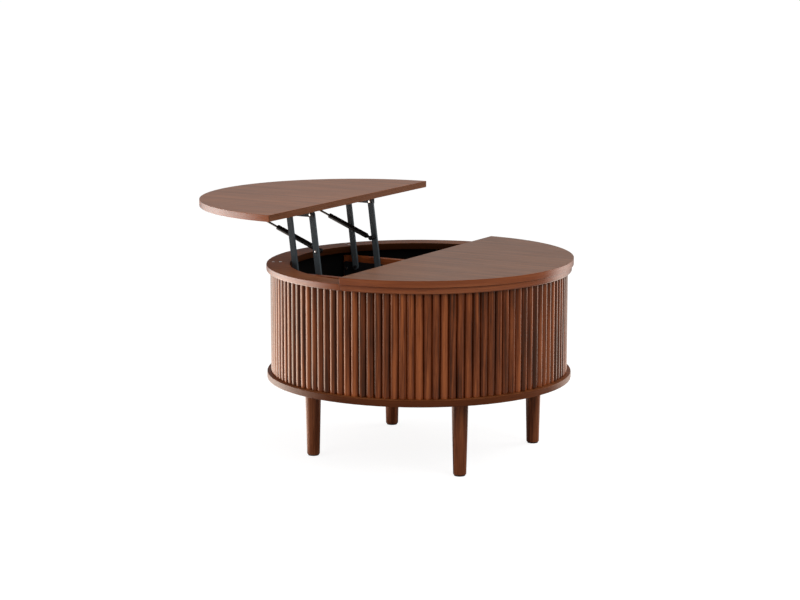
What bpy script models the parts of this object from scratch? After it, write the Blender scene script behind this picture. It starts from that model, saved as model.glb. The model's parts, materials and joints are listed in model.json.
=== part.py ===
# Round lift-top coffee table: a fluted drum on four turned legs. The rear half of the top is fixed and the
# front half rises forward on two pairs of parallel arms with a gas strut on each side.
# Front, the side that the top lifts towards, is -Y. The table is modelled with its top raised.
import bpy
import bmesh
from math import asin, atan2, cos, pi, radians, sin, sqrt
from mathutils import Vector

# Boards and drum, in metres
TOP_RADIUS = 0.350
TOP_THICKNESS = 0.015
BOARD_EASE = 0.0012
TOP_SPLIT = 0.002
TOP_OVERHANG = 0.004
RIM_WIDTH = 0.053
RIM_THICKNESS = 0.015
BASE_THICKNESS = 0.015
RIM_UNDERSIDE_ROUND = 0.004
DRUM_HEIGHT = 0.230
FLUTE_SETBACK = 0.009
FLUTE_DEPTH = 0.0075
FLUTE_WEB = 0.0012
FLUTE_COUNT = 116
SHELL_THICKNESS = 0.006

# Legs and feet
LEG_HEIGHT = 0.172
LEG_TOP_RADIUS = 0.0185
LEG_FOOT_RADIUS = 0.0145
LEG_INSET = 0.0867
LEG_ANGLE = radians(46.64)
LEG_SETBACK = 0.0145
LEG_PLATE_SIZE = 0.060
LEG_PLATE_THICKNESS = 0.0025
LEG_PLATE_CORNER = 0.008
LEG_BOLT_RADIUS = 0.004
LEG_BOLT_IN_LEG = 0.022
LEG_BOLT_IN_BASE = 0.010
GLIDE_RADIUS = 0.0125
GLIDE_THICKNESS = 0.0025

# Stop pads in the rim
PAD_RADIUS = 0.0034
PAD_PROUD = 0.0001
PAD_POCKET_DEPTH = 0.0012
PAD_ANGLE = radians(28.6)
PAD_INSETS = (0.015, 0.031)

# Lift mechanism, seen from the side; angles are from rearward, turning up
ARM_LENGTH = 0.1605
ARM_WIDTH = 0.0138
ARM_THICKNESS = 0.006
ARM_RAISED = radians(97.2)
ARM_CLOSED = radians(13.5)
PIVOT_SPACING = 0.061
PIVOT_FROM_RIM = 0.0123
TOP_PIVOT_DROP = 0.011
PIN_RADIUS = 0.0025
PIN_HEAD_RADIUS = 0.0042
PIN_HEAD_THICKNESS = 0.0018
RIVET_HEAD_RADIUS = 0.0034
PIN_COLLAR = 0.0015
PANEL_INNER_X = 0.137
PANEL_THICKNESS = 0.015
PANEL_BELOW_RIM = 0.009
PLATE_THICKNESS = 0.002
PLATE_FRONT = 0.036
PLATE_REAR = 0.018
PLATE_ABOVE = 0.010
PLATE_BELOW = 0.026
PLATE_CORNER = 0.005
BRACKET_HEIGHT = 0.0165
BRACKET_FLANGE = 0.013
BRACKET_REAR = 0.0065
BRACKET_FRONT = 0.007
STRUT_RADIUS = 0.006
STRUT_ROD_RADIUS = 0.0025
STRUT_EYE_RADIUS = 0.0055
STRUT_EYE_WIDTH = 0.007
STRUT_END_PLUG = 0.006
STRUT_END_STOP = 0.003
STRUT_PIN_RADIUS = 0.0025
STRUT_PIN_HEAD = 0.0012
STRUT_INBOARD = 0.014
STRUT_RAISE = 0.005
# Shares of the arm's length: the strut's foot along the rear arm, and its head ahead of the rear top pivot
STRUT_FOOT_SHARE = 0.4698
STRUT_REACH_SHARE = 1.3209

# Clearances: between pieces that touch, and round a pin that turns
GAP = 0.0003
PIN_CLEARANCE = 0.0003

# Facets
DISC_STEPS = 72
HALF_TOP_STEPS = 60
FLUTE_STEPS = 6
LEG_STEPS = 24
PIN_STEPS = 12
CORNER_STEPS = 3
EASE_STEPS = 2

# Radii that follow the top: the rim and base stand back from its edge, the flutes and shell from theirs
RIM_RADIUS = TOP_RADIUS - TOP_OVERHANG
RIM_INNER = RIM_RADIUS - RIM_WIDTH
BASE_RADIUS = RIM_RADIUS
FLUTE_RADIUS = RIM_RADIUS - FLUTE_SETBACK
SHELL_OUTER = FLUTE_RADIUS - FLUTE_DEPTH - FLUTE_WEB - GAP
SHELL_INNER = SHELL_OUTER - SHELL_THICKNESS

# Levels above the floor
BASE_TOP = LEG_HEIGHT + BASE_THICKNESS
RIM_BOTTOM = BASE_TOP + DRUM_HEIGHT
RIM_TOP = RIM_BOTTOM + RIM_THICKNESS
TOP_UNDERSIDE = RIM_TOP + GAP

# Lift geometry in the side plane, Y then Z, from the drum axis at the floor; the front pivots stand just
# inside the rim's opening
ARM_UP = Vector((cos(ARM_RAISED), sin(ARM_RAISED))) * ARM_LENGTH
ARM_DOWN = Vector((cos(ARM_CLOSED), sin(ARM_CLOSED))) * ARM_LENGTH
LIFT_FORWARD = ARM_DOWN.x - ARM_UP.x
LIFT_RISE = ARM_UP.y - ARM_DOWN.y
FRONT_PIVOT_Y = -sqrt((RIM_INNER - PIVOT_FROM_RIM) ** 2 - PANEL_INNER_X ** 2)
FRONT_BASE = Vector((FRONT_PIVOT_Y, TOP_UNDERSIDE - TOP_PIVOT_DROP - ARM_DOWN.y))
REAR_BASE = FRONT_BASE + Vector((PIVOT_SPACING, 0))
REAR_TOP = REAR_BASE + ARM_UP
FRONT_TOP = FRONT_BASE + ARM_UP
STRUT_FOOT = REAR_BASE + ARM_UP * STRUT_FOOT_SHARE
STRUT_AHEAD = Vector((-ARM_LENGTH * STRUT_REACH_SHARE, STRUT_RAISE))
STRUT_HEAD = REAR_TOP + STRUT_AHEAD
STRUT_LINE = STRUT_HEAD - STRUT_FOOT
STRUT_LINE_CLOSED = ARM_DOWN * (1 - STRUT_FOOT_SHARE) + STRUT_AHEAD
BOARD_UNDERSIDE = TOP_UNDERSIDE + LIFT_RISE

# Layers of the lift on one side, from the mounting panel inwards
PLATE_OUTER_X = PANEL_INNER_X - GAP
PLATE_INNER_X = PLATE_OUTER_X - PLATE_THICKNESS
ARM_OUTER_X = PLATE_INNER_X - PIN_COLLAR - 2 * GAP
ARM_INNER_X = ARM_OUTER_X - ARM_THICKNESS
STRUT_X = ARM_INNER_X - STRUT_INBOARD

# A flat outline drawn in Y and Z stands across the table with this turn
SIDE_ON = (pi / 2, 0, pi / 2)
SIDES = (("right", 1), ("left", -1))

WALNUT = ((0.235, 0.120, 0.065), 0.42, 0.0)
FLUTED_WALNUT = ((0.150, 0.062, 0.030), 0.38, 0.0)
LEG_WALNUT = ((0.120, 0.055, 0.030), 0.40, 0.0)
LINING = ((0.012, 0.012, 0.012), 0.60, 0.0)
BLACK_STEEL = ((0.035, 0.036, 0.038), 0.38, 0.6)
ZINC = ((0.720, 0.720, 0.720), 0.30, 1.0)
NYLON = ((0.060, 0.040, 0.030), 0.55, 0.0)
CLEAR_PAD = ((0.780, 0.700, 0.660), 0.35, 0.0)


def new_collection(name):
    collection = bpy.data.collections.new(name)
    bpy.context.scene.collection.children.link(collection)
    return collection


def empty_at(name, location, parent=None):
    empty = bpy.data.objects.new(name, None)
    empty.location = location
    empty.parent = parent
    parts.objects.link(empty)
    return empty


def add_part(name, mesh, look, location=(0, 0, 0), rotation=(0, 0, 0), parent=None):
    colour, roughness, metallic = look
    material = bpy.data.materials.new(name)
    material.use_nodes = True
    shader = material.node_tree.nodes["Principled BSDF"]
    shader.inputs["Base Color"].default_value = (*colour, 1)
    shader.inputs["Roughness"].default_value = roughness
    shader.inputs["Metallic"].default_value = metallic
    mesh.materials.append(material)
    mesh.shade_smooth()
    mesh.set_sharp_from_angle(angle=radians(35))
    part = bpy.data.objects.new(name, mesh)
    part.location = location
    part.rotation_euler = rotation
    part.parent = parent or drum_axis
    parts.objects.link(part)
    return part


def add_tool(name, mesh, location, rotation=(0, 0, 0)):
    tool = bpy.data.objects.new(name, mesh)
    tool.location = location
    tool.rotation_euler = rotation
    tool.parent = drum_axis
    tool.hide_render = True
    tool.display_type = "WIRE"
    tools.objects.link(tool)
    return tool


def combine(part, tool, operation):
    boolean = part.modifiers.new(f"{operation.lower()} {tool.name}", "BOOLEAN")
    boolean.operation = operation
    boolean.object = tool


def arc(centre, radius, start, end, steps):
    turns = [start + (end - start) * step / steps for step in range(steps + 1)]
    return [(centre[0] + radius * cos(turn), centre[1] + radius * sin(turn)) for turn in turns]


def slot_outline(start, end, radius):
    heading = atan2(end[1] - start[1], end[0] - start[0])
    points = arc(start, radius, heading + pi / 2, heading + 3 * pi / 2, PIN_STEPS // 2)
    points += arc(end, radius, heading - pi / 2, heading + pi / 2, PIN_STEPS // 2)
    return points


def rounded_rectangle(low, high, radius):
    points = arc((low[0] + radius, low[1] + radius), radius, pi, 1.5 * pi, CORNER_STEPS)
    points += arc((high[0] - radius, low[1] + radius), radius, 1.5 * pi, 2 * pi, CORNER_STEPS)
    points += arc((high[0] - radius, high[1] - radius), radius, 0, 0.5 * pi, CORNER_STEPS)
    points += arc((low[0] + radius, high[1] - radius), radius, 0.5 * pi, pi, CORNER_STEPS)
    return points


def outline_mesh(name, outlines, thickness):
    # The first outline is the outside; the others are holes in it.
    curve = bpy.data.curves.new(name, "CURVE")
    curve.dimensions = "2D"
    curve.fill_mode = "BOTH"
    curve.extrude = thickness / 2
    for outline in outlines:
        spline = curve.splines.new("POLY")
        spline.points.add(len(outline) - 1)
        for point, (across, up) in zip(spline.points, outline):
            point.co = (across, up, 0, 1)
        spline.use_cyclic_u = True
    drawing = bpy.data.objects.new(name, curve)
    bpy.context.scene.collection.objects.link(drawing)
    graph = bpy.context.evaluated_depsgraph_get()
    mesh = bpy.data.meshes.new_from_object(drawing.evaluated_get(graph))
    bpy.data.objects.remove(drawing)
    solid = bmesh.new()
    solid.from_mesh(mesh)
    bmesh.ops.remove_doubles(solid, verts=solid.verts, dist=0.00001)
    bmesh.ops.recalc_face_normals(solid, faces=solid.faces)
    solid.to_mesh(mesh)
    solid.free()
    return mesh


def cylinder_mesh(name, radius, length, steps):
    mesh = bpy.data.meshes.new(name)
    solid = bmesh.new()
    bmesh.ops.create_cone(solid, cap_ends=True, segments=steps, radius1=radius, radius2=radius, depth=length)
    solid.to_mesh(mesh)
    solid.free()
    return mesh


def box_mesh(name, size):
    mesh = bpy.data.meshes.new(name)
    solid = bmesh.new()
    bmesh.ops.create_cube(solid, size=1)
    bmesh.ops.scale(solid, vec=size, verts=solid.verts)
    solid.to_mesh(mesh)
    solid.free()
    return mesh


def profile_mesh(name, points, closed=False):
    mesh = bpy.data.meshes.new(name)
    edges = [(index, index + 1) for index in range(len(points) - 1)]
    if closed:
        edges.append((len(points) - 1, 0))
    mesh.from_pydata([(out, 0, up) for out, up in points], edges, [])
    return mesh


def turn(part, steps):
    screw = part.modifiers.new("turned", "SCREW")
    screw.angle = 2 * pi
    screw.steps = steps
    screw.render_steps = steps
    screw.use_merge_vertices = True
    screw.merge_threshold = 0.00001


def ease(part, width, segments):
    bevel = part.modifiers.new("eased edges", "BEVEL")
    bevel.width = width
    bevel.segments = segments
    bevel.limit_method = "ANGLE"
    bevel.angle_limit = radians(40)


def middle(low, high):
    return (low + high) / 2


def make_base_disc():
    inner = BASE_RADIUS - BOARD_EASE
    points = [(0, BASE_TOP)]
    points += arc((inner, BASE_TOP - BOARD_EASE), BOARD_EASE, pi / 2, 0, EASE_STEPS)
    points += arc((inner, LEG_HEIGHT + BOARD_EASE), BOARD_EASE, 0, -pi / 2, EASE_STEPS)
    points.append((0, LEG_HEIGHT))
    disc = add_part("base_disc", profile_mesh("base_disc", points), WALNUT)
    turn(disc, DISC_STEPS)
    # Each hanger bolt runs up into a blind hole; the cutter starts one hole depth below the underside.
    for name, x, y in LEG_PLACES:
        depth = LEG_BOLT_IN_BASE + GAP
        drill = cylinder_mesh(f"{name}_drill", LEG_BOLT_RADIUS + GAP, 2 * depth, PIN_STEPS)
        combine(disc, add_tool(f"{name}_drill", drill, (x, y, LEG_HEIGHT)), "DIFFERENCE")


def make_leg(name, x, y):
    leg_foot = GLIDE_THICKNESS + GAP
    leg_top = LEG_HEIGHT - LEG_PLATE_THICKNESS - 2 * GAP
    hole = LEG_BOLT_RADIUS + GAP
    hole_bottom = leg_top - LEG_BOLT_IN_LEG - GAP
    points = [(0, hole_bottom), (hole, hole_bottom), (hole, leg_top), (LEG_TOP_RADIUS, leg_top)]
    points += [(LEG_FOOT_RADIUS, leg_foot), (0, leg_foot)]
    leg = add_part(f"{name}_leg", profile_mesh(f"{name}_leg", points), LEG_WALNUT, (x, y, 0))
    turn(leg, LEG_STEPS)

    half = LEG_PLATE_SIZE / 2
    plate_outline = rounded_rectangle((-half, -half), (half, half), LEG_PLATE_CORNER)
    plate_hole = arc((0, 0), hole, 0, 2 * pi * (1 - 1 / PIN_STEPS), PIN_STEPS - 1)
    plate = outline_mesh(f"{name}_leg_plate", (plate_outline, plate_hole), LEG_PLATE_THICKNESS)
    plate_z = LEG_HEIGHT - GAP - LEG_PLATE_THICKNESS / 2
    add_part(f"{name}_leg_plate", plate, BLACK_STEEL, (x, y, plate_z))

    bolt_bottom = leg_top - LEG_BOLT_IN_LEG
    bolt_top = LEG_HEIGHT + LEG_BOLT_IN_BASE
    bolt = cylinder_mesh(f"{name}_leg_bolt", LEG_BOLT_RADIUS, bolt_top - bolt_bottom, PIN_STEPS)
    add_part(f"{name}_leg_bolt", bolt, ZINC, (x, y, middle(bolt_bottom, bolt_top)))

    glide = cylinder_mesh(f"{name}_foot_glide", GLIDE_RADIUS, GLIDE_THICKNESS, LEG_STEPS)
    add_part(f"{name}_foot_glide", glide, NYLON, (x, y, GLIDE_THICKNESS / 2))


def make_drum():
    low = BASE_TOP + GAP
    high = RIM_BOTTOM - GAP
    points = [(SHELL_OUTER, high), (SHELL_OUTER, low), (SHELL_INNER, low), (SHELL_INNER, high)]
    shell = add_part("drum_shell", profile_mesh("drum_shell", points, closed=True), LINING)
    turn(shell, DISC_STEPS)

    # A quarter of the reeded skin: half-round flutes side by side on a thin bent web
    back = SHELL_OUTER + GAP
    groove = back + FLUTE_WEB
    flutes = FLUTE_COUNT // 4
    end_gap = GAP / 2 / back
    pitch = (pi / 2 - 2 * end_gap) / flutes
    outline = []
    for flute in range(flutes):
        centre = end_gap + (flute + 0.5) * pitch
        for step in range(FLUTE_STEPS):
            round_turn = pi * step / FLUTE_STEPS
            turn_here = centre - cos(round_turn) * pitch / 2
            out = groove + FLUTE_DEPTH * sin(round_turn)
            outline.append((out * cos(turn_here), out * sin(turn_here)))
    last_turn = pi / 2 - end_gap
    outline.append((groove * cos(last_turn), groove * sin(last_turn)))
    outline += arc((0, 0), back, last_turn, end_gap, flutes)
    quarters = ("rear_right", "rear_left", "front_left", "front_right")
    for index, quarter in enumerate(quarters):
        name = f"fluted_panel_{quarter}"
        panel = outline_mesh(name, (outline,), high - low)
        add_part(name, panel, FLUTED_WALNUT, (0, 0, middle(low, high)), (0, 0, index * pi / 2))


def make_rim():
    # The rim's section, from its inner top corner round by the outside
    eased_top, eased_bottom = RIM_TOP - BOARD_EASE, RIM_BOTTOM + BOARD_EASE
    eased_inner = RIM_INNER + BOARD_EASE
    points = arc((eased_inner, eased_top), BOARD_EASE, pi, pi / 2, EASE_STEPS)
    points += arc((RIM_RADIUS - BOARD_EASE, eased_top), BOARD_EASE, pi / 2, 0, EASE_STEPS)
    round_centre = (RIM_RADIUS - RIM_UNDERSIDE_ROUND, RIM_BOTTOM + RIM_UNDERSIDE_ROUND)
    points += arc(round_centre, RIM_UNDERSIDE_ROUND, 0, -pi / 2, CORNER_STEPS)
    points += arc((eased_inner, eased_bottom), BOARD_EASE, -pi / 2, -pi, EASE_STEPS)
    reach = 2 * RIM_RADIUS + RIM_WIDTH
    for name, side in (("rim_front", 1), ("rim_rear", -1)):
        # Turned by half a facet, so that the joint on the chord falls in the middle of one
        half_facet = pi / DISC_STEPS
        rim = add_part(name, profile_mesh(name, points, closed=True), WALNUT, rotation=(0, 0, half_facet))
        turn(rim, DISC_STEPS)
        other_half = box_mesh(f"{name}_cut", (reach, reach, 3 * RIM_THICKNESS))
        place = (0, side * (reach / 2 - GAP / 2), middle(RIM_BOTTOM, RIM_TOP))
        combine(rim, add_tool(f"{name}_cut", other_half, place), "DIFFERENCE")
        if name == "rim_front":
            make_stop_pads(rim)


def make_stop_pads(rim):
    pad_height = PAD_POCKET_DEPTH - GAP + PAD_PROUD
    for side_name, side in SIDES:
        for place_name, inset in zip(("outer", "inner"), PAD_INSETS):
            name = f"{side_name}_{place_name}_stop_pad"
            circle = RIM_RADIUS - inset
            x = side * circle * sin(PAD_ANGLE)
            y = -circle * cos(PAD_ANGLE)
            pocket = cylinder_mesh(f"{name}_pocket", PAD_RADIUS + GAP, 2 * PAD_POCKET_DEPTH, PIN_STEPS)
            combine(rim, add_tool(f"{name}_pocket", pocket, (x, y, RIM_TOP)), "DIFFERENCE")
            pad = cylinder_mesh(name, PAD_RADIUS, pad_height, PIN_STEPS)
            add_part(name, pad, CLEAR_PAD, (x, y, RIM_TOP + PAD_PROUD - pad_height / 2))


def half_top_outline(side):
    # Half of a disc, cut back from the diameter by half of the split between the two tops
    lip = asin(TOP_SPLIT / 2 / TOP_RADIUS)
    start = lip if side > 0 else pi + lip
    return arc((0, 0), TOP_RADIUS, start, start + pi - 2 * lip, HALF_TOP_STEPS)


def make_tops():
    fixed = outline_mesh("fixed_top", (half_top_outline(1),), TOP_THICKNESS)
    part = add_part("fixed_top", fixed, WALNUT, (0, 0, TOP_UNDERSIDE + TOP_THICKNESS / 2))
    ease(part, BOARD_EASE, EASE_STEPS)

    lifting = outline_mesh("lift_top", (half_top_outline(-1),), TOP_THICKNESS)
    place = (0, -LIFT_FORWARD - REAR_TOP.x, BOARD_UNDERSIDE + TOP_THICKNESS / 2 - REAR_TOP.y)
    part = add_part("lift_top", lifting, WALNUT, place, parent=lift_pivot)
    ease(part, BOARD_EASE, EASE_STEPS)


def make_mounting_panel(side_name, side):
    # The panel's outer corners just clear the round shell.
    outer_x = PANEL_INNER_X + PANEL_THICKNESS
    half_length = sqrt(SHELL_INNER ** 2 - outer_x ** 2) - 2 * GAP
    low = BASE_TOP + GAP
    high = RIM_BOTTOM - PANEL_BELOW_RIM
    name = f"{side_name}_mounting_panel"
    panel = box_mesh(name, (PANEL_THICKNESS, 2 * half_length, high - low))
    add_part(name, panel, WALNUT, (side * middle(PANEL_INNER_X, outer_x), 0, middle(low, high)))


def make_base_plate(side_name, side):
    low = (FRONT_BASE.x - PLATE_FRONT, FRONT_BASE.y - PLATE_BELOW)
    high = (REAR_BASE.x + PLATE_REAR, REAR_BASE.y + PLATE_ABOVE)
    name = f"{side_name}_base_plate"
    plate = outline_mesh(name, (rounded_rectangle(low, high, PLATE_CORNER),), PLATE_THICKNESS)
    add_part(name, plate, BLACK_STEEL, (side * middle(PLATE_INNER_X, PLATE_OUTER_X), 0, 0), SIDE_ON)


def make_arm(name, side, base, with_strut_hole):
    # A flat bar with round ends
    place = (side * middle(ARM_INNER_X, ARM_OUTER_X), base.x, base.y)
    arm = outline_mesh(name, (slot_outline((0, 0), ARM_UP, ARM_WIDTH / 2),), ARM_THICKNESS)
    part = add_part(name, arm, BLACK_STEEL, place, SIDE_ON)
    holes = [(Vector((0, 0)), PIN_RADIUS), (ARM_UP, PIN_RADIUS)]
    if with_strut_hole:
        holes.append((ARM_UP * STRUT_FOOT_SHARE, STRUT_PIN_RADIUS))
    for index, (spot, radius) in enumerate(holes):
        drill = cylinder_mesh(f"{name}_hole_{index}", radius + PIN_CLEARANCE, 4 * ARM_THICKNESS, PIN_STEPS)
        drill_place = (place[0], base.x + spot.x, base.y + spot.y)
        combine(part, add_tool(f"{name}_hole_{index}", drill, drill_place, (0, pi / 2, 0)), "DIFFERENCE")


def make_pin(name, side, spot, layers, parent=None):
    # A turned pin across the table: each layer is its radius and its outer and inner distance from the middle.
    points = [(0, layers[0][1])]
    for radius, outer, inner in layers:
        points += [(radius, outer), (radius, inner)]
    points.append((0, layers[-1][2]))
    offset = Vector((0, spot.x, spot.y))
    if parent:
        offset -= parent.location
    pin = add_part(name, profile_mesh(name, points), ZINC, offset, (0, side * pi / 2, 0), parent)
    turn(pin, PIN_STEPS)


def make_pivot_pins(side_name, side):
    head_outer = ARM_INNER_X - GAP
    head_inner = head_outer - PIN_HEAD_THICKNESS
    collar_outer = PLATE_INNER_X - GAP
    collar_inner = ARM_OUTER_X + GAP
    inner_end = [(PIN_HEAD_RADIUS, collar_outer, collar_inner)]
    inner_end += [(PIN_RADIUS, collar_inner, head_outer), (PIN_HEAD_RADIUS, head_outer, head_inner)]
    rivet_inner = PLATE_OUTER_X + GAP
    outer_end = [(RIVET_HEAD_RADIUS, rivet_inner + PIN_HEAD_THICKNESS, rivet_inner)]
    outer_end += [(PIN_RADIUS, rivet_inner, collar_outer)]
    for place_name, base, top in (("front", FRONT_BASE, FRONT_TOP), ("rear", REAR_BASE, REAR_TOP)):
        make_pin(f"{side_name}_{place_name}_base_pin", side, base, inner_end)
        make_pin(f"{side_name}_{place_name}_top_pin", side, top, outer_end + inner_end, lift_pivot)


def make_bracket(side_name, side):
    # An angle bar under the lifting board: its upright leg carries the top pivots, its flat leg the board.
    name = f"{side_name}_top_bracket"
    high = BOARD_UNDERSIDE - GAP
    front = STRUT_HEAD.x - BRACKET_FRONT
    rear = REAR_TOP.x + BRACKET_REAR
    flange_x = PLATE_OUTER_X + BRACKET_FLANGE
    corners = [(PLATE_INNER_X, high - BRACKET_HEIGHT), (PLATE_OUTER_X, high - BRACKET_HEIGHT)]
    corners += [(PLATE_OUTER_X, high - PLATE_THICKNESS), (flange_x, high - PLATE_THICKNESS)]
    corners += [(flange_x, high), (PLATE_INNER_X, high)]
    section = [(side * x, z - REAR_TOP.y) for x, z in corners]
    angle_bar = outline_mesh(name, (section,), rear - front)
    place = (0, middle(front, rear) - REAR_TOP.x, 0)
    part = add_part(name, angle_bar, BLACK_STEEL, place, (pi / 2, 0, 0), lift_pivot)
    for index, spot in enumerate((FRONT_TOP, REAR_TOP)):
        drill = cylinder_mesh(f"{name}_hole_{index}", PIN_RADIUS + GAP, 4 * PLATE_THICKNESS, PIN_STEPS)
        drill_place = (side * middle(PLATE_INNER_X, PLATE_OUTER_X), spot.x, spot.y)
        combine(part, add_tool(f"{name}_hole_{index}", drill, drill_place, (0, pi / 2, 0)), "DIFFERENCE")


def make_strut(side_name, side):
    closed_length = STRUT_LINE_CLOSED.length
    cylinder_end = closed_length - STRUT_EYE_RADIUS - STRUT_END_STOP
    bore_start = STRUT_EYE_RADIUS + STRUT_END_PLUG
    rod_length = closed_length - bore_start - GAP
    # The strut's own Z runs from its lower eye to its upper one.
    lean = (atan2(-STRUT_LINE.x, STRUT_LINE.y), 0, 0)
    across = (0, pi / 2, 0)

    foot = (side * STRUT_X, STRUT_FOOT.x, STRUT_FOOT.y)
    bore = STRUT_ROD_RADIUS + PIN_CLEARANCE
    points = [(0, bore_start), (bore, bore_start), (bore, cylinder_end), (STRUT_RADIUS, cylinder_end)]
    points += [(STRUT_RADIUS, bore_start), (STRUT_ROD_RADIUS, STRUT_EYE_RADIUS), (STRUT_ROD_RADIUS, 0), (0, 0)]
    name = f"{side_name}_strut_cylinder"
    cylinder = add_part(name, profile_mesh(name, points), BLACK_STEEL, foot, lean)
    turn(cylinder, PIN_STEPS)
    eye = cylinder_mesh(f"{name}_eye", STRUT_EYE_RADIUS, STRUT_EYE_WIDTH, PIN_STEPS)
    combine(cylinder, add_tool(f"{name}_eye", eye, foot, across), "UNION")
    drill = cylinder_mesh(f"{name}_hole", STRUT_PIN_RADIUS + PIN_CLEARANCE, 4 * STRUT_EYE_WIDTH, PIN_STEPS)
    combine(cylinder, add_tool(f"{name}_hole", drill, foot, across), "DIFFERENCE")

    # The rod ends in an eye with a stud that reaches the bracket's upright leg.
    name = f"{side_name}_strut_rod"
    back_along = STRUT_LINE.normalized() * rod_length / 2
    rod_middle = (side * STRUT_X, STRUT_HEAD.x - back_along.x, STRUT_HEAD.y - back_along.y)
    rod = cylinder_mesh(name, STRUT_ROD_RADIUS, rod_length, PIN_STEPS)
    part = add_part(name, rod, BLACK_STEEL, rod_middle, lean)
    head = (side * STRUT_X, STRUT_HEAD.x, STRUT_HEAD.y)
    eye = cylinder_mesh(f"{name}_eye", STRUT_EYE_RADIUS, STRUT_EYE_WIDTH, PIN_STEPS)
    combine(part, add_tool(f"{name}_eye", eye, head, across), "UNION")
    stud_end = PLATE_INNER_X - GAP
    stud = cylinder_mesh(f"{name}_stud", STRUT_PIN_RADIUS, stud_end - STRUT_X, PIN_STEPS)
    stud_place = (side * middle(STRUT_X, stud_end), STRUT_HEAD.x, STRUT_HEAD.y)
    combine(part, add_tool(f"{name}_stud", stud, stud_place, across), "UNION")

    # The lower pin is headed outside the rear arm, and a collar keeps the strut clear of the arms.
    eye_outer = STRUT_X + STRUT_EYE_WIDTH / 2 + GAP
    eye_inner = STRUT_X - STRUT_EYE_WIDTH / 2 - GAP
    head_inner = ARM_OUTER_X + GAP
    collar_outer = ARM_INNER_X - GAP
    layers = [(RIVET_HEAD_RADIUS, head_inner + STRUT_PIN_HEAD, head_inner)]
    layers += [(STRUT_PIN_RADIUS, head_inner, collar_outer), (PIN_HEAD_RADIUS, collar_outer, eye_outer)]
    layers += [(STRUT_PIN_RADIUS, eye_outer, eye_inner)]
    layers += [(PIN_HEAD_RADIUS, eye_inner, eye_inner - PIN_HEAD_THICKNESS)]
    make_pin(f"{side_name}_strut_pin", side, STRUT_FOOT, layers)


for leftover in list(bpy.data.objects):
    bpy.data.objects.remove(leftover)

LEG_PLACES = []
leg_circle = BASE_RADIUS - LEG_INSET
for row_name, row in (("front", -1), ("rear", 1)):
    for side_name, side in SIDES:
        leg_x = side * leg_circle * cos(LEG_ANGLE)
        leg_y = row * leg_circle * sin(LEG_ANGLE) + LEG_SETBACK
        LEG_PLACES.append((f"{row_name}_{side_name}", leg_x, leg_y))

parts = new_collection("round lift top coffee table")
tools = new_collection("cutting and joining shapes")

# The origin is on the floor, midway between the raised top's front edge and the fixed top's rear edge.
drum_axis = empty_at("drum_axis", (0, LIFT_FORWARD / 2, 0))
lift_pivot = empty_at("lift_pivot", (0, REAR_TOP.x, REAR_TOP.y), drum_axis)

make_base_disc()
for leg_name, leg_x, leg_y in LEG_PLACES:
    make_leg(leg_name, leg_x, leg_y)
make_drum()
make_rim()
make_tops()
for side_name, side in SIDES:
    make_mounting_panel(side_name, side)
    make_base_plate(side_name, side)
    make_arm(f"{side_name}_front_arm", side, FRONT_BASE, False)
    make_arm(f"{side_name}_rear_arm", side, REAR_BASE, True)
    make_pivot_pins(side_name, side)
    make_bracket(side_name, side)
    make_strut(side_name, side)
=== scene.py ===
import json
import random
from math import atan2, pi, radians

import bpy
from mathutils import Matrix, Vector


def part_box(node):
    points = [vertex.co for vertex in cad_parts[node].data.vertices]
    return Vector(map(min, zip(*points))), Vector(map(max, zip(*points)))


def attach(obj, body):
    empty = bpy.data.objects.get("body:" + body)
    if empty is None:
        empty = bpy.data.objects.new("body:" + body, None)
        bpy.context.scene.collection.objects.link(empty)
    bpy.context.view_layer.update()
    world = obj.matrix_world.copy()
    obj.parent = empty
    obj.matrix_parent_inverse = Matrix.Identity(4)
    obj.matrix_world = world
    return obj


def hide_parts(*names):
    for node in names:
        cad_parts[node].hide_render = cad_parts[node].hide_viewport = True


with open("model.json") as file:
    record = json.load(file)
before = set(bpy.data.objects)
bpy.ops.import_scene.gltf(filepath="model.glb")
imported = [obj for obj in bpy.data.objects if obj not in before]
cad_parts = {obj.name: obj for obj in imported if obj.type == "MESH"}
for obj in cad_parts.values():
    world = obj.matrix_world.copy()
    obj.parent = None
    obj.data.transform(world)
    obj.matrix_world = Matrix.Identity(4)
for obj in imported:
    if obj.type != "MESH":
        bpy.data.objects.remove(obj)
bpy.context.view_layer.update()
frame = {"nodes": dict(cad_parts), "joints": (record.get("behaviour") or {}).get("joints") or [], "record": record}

nodeBody = {node: body for body, nodes in frame["record"]["behaviour"]["bodies"].items() for node in nodes}
jointPlace = {joint["name"]: joint for joint in frame["joints"]}
baseLow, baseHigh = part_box("base_disc")
drumAxis = Vector((0, (baseLow.y + baseHigh.y) / 2, 0))
sides = {"right": 1, "left": -1}
print("frame loaded, drum axis at", round(drumAxis.y, 4))


# camera: fitted to the photograph's round edges, taken as 800 x 600
cameraView = {"place": (4.4694, 2.5156, 1.2493), "pitch": 10.001, "yaw": 119.856, "focalPixels": 2290.4,
              "photoWidth": 800, "sensor": 36, "farthest": 200}
cameraData = bpy.data.cameras.new("photoCamera")
cameraData.sensor_width = cameraView["sensor"]
cameraData.lens = cameraView["focalPixels"] * cameraView["sensor"] / cameraView["photoWidth"]
cameraData.clip_end = cameraView["farthest"]
photoCamera = bpy.data.objects.new("photoCamera", cameraData)
photoCamera.location = Vector(cameraView["place"]) + drumAxis
photoCamera.rotation_euler = (radians(90 - cameraView["pitch"]), 0, radians(cameraView["yaw"]))
bpy.context.scene.collection.objects.link(photoCamera)
bpy.context.scene.camera = photoCamera
print("camera set")


# small helpers for node trees
def addNode(tree, kind, wires=None, **settings):
    node = tree.nodes.new("ShaderNode" + kind)
    for name, value in settings.items():
        setattr(node, name, value)
    for socket, value in (wires or {}).items():
        if isinstance(value, bpy.types.NodeSocket):
            tree.links.new(value, node.inputs[socket])
        else:
            node.inputs[socket].default_value = value
    return node


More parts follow.
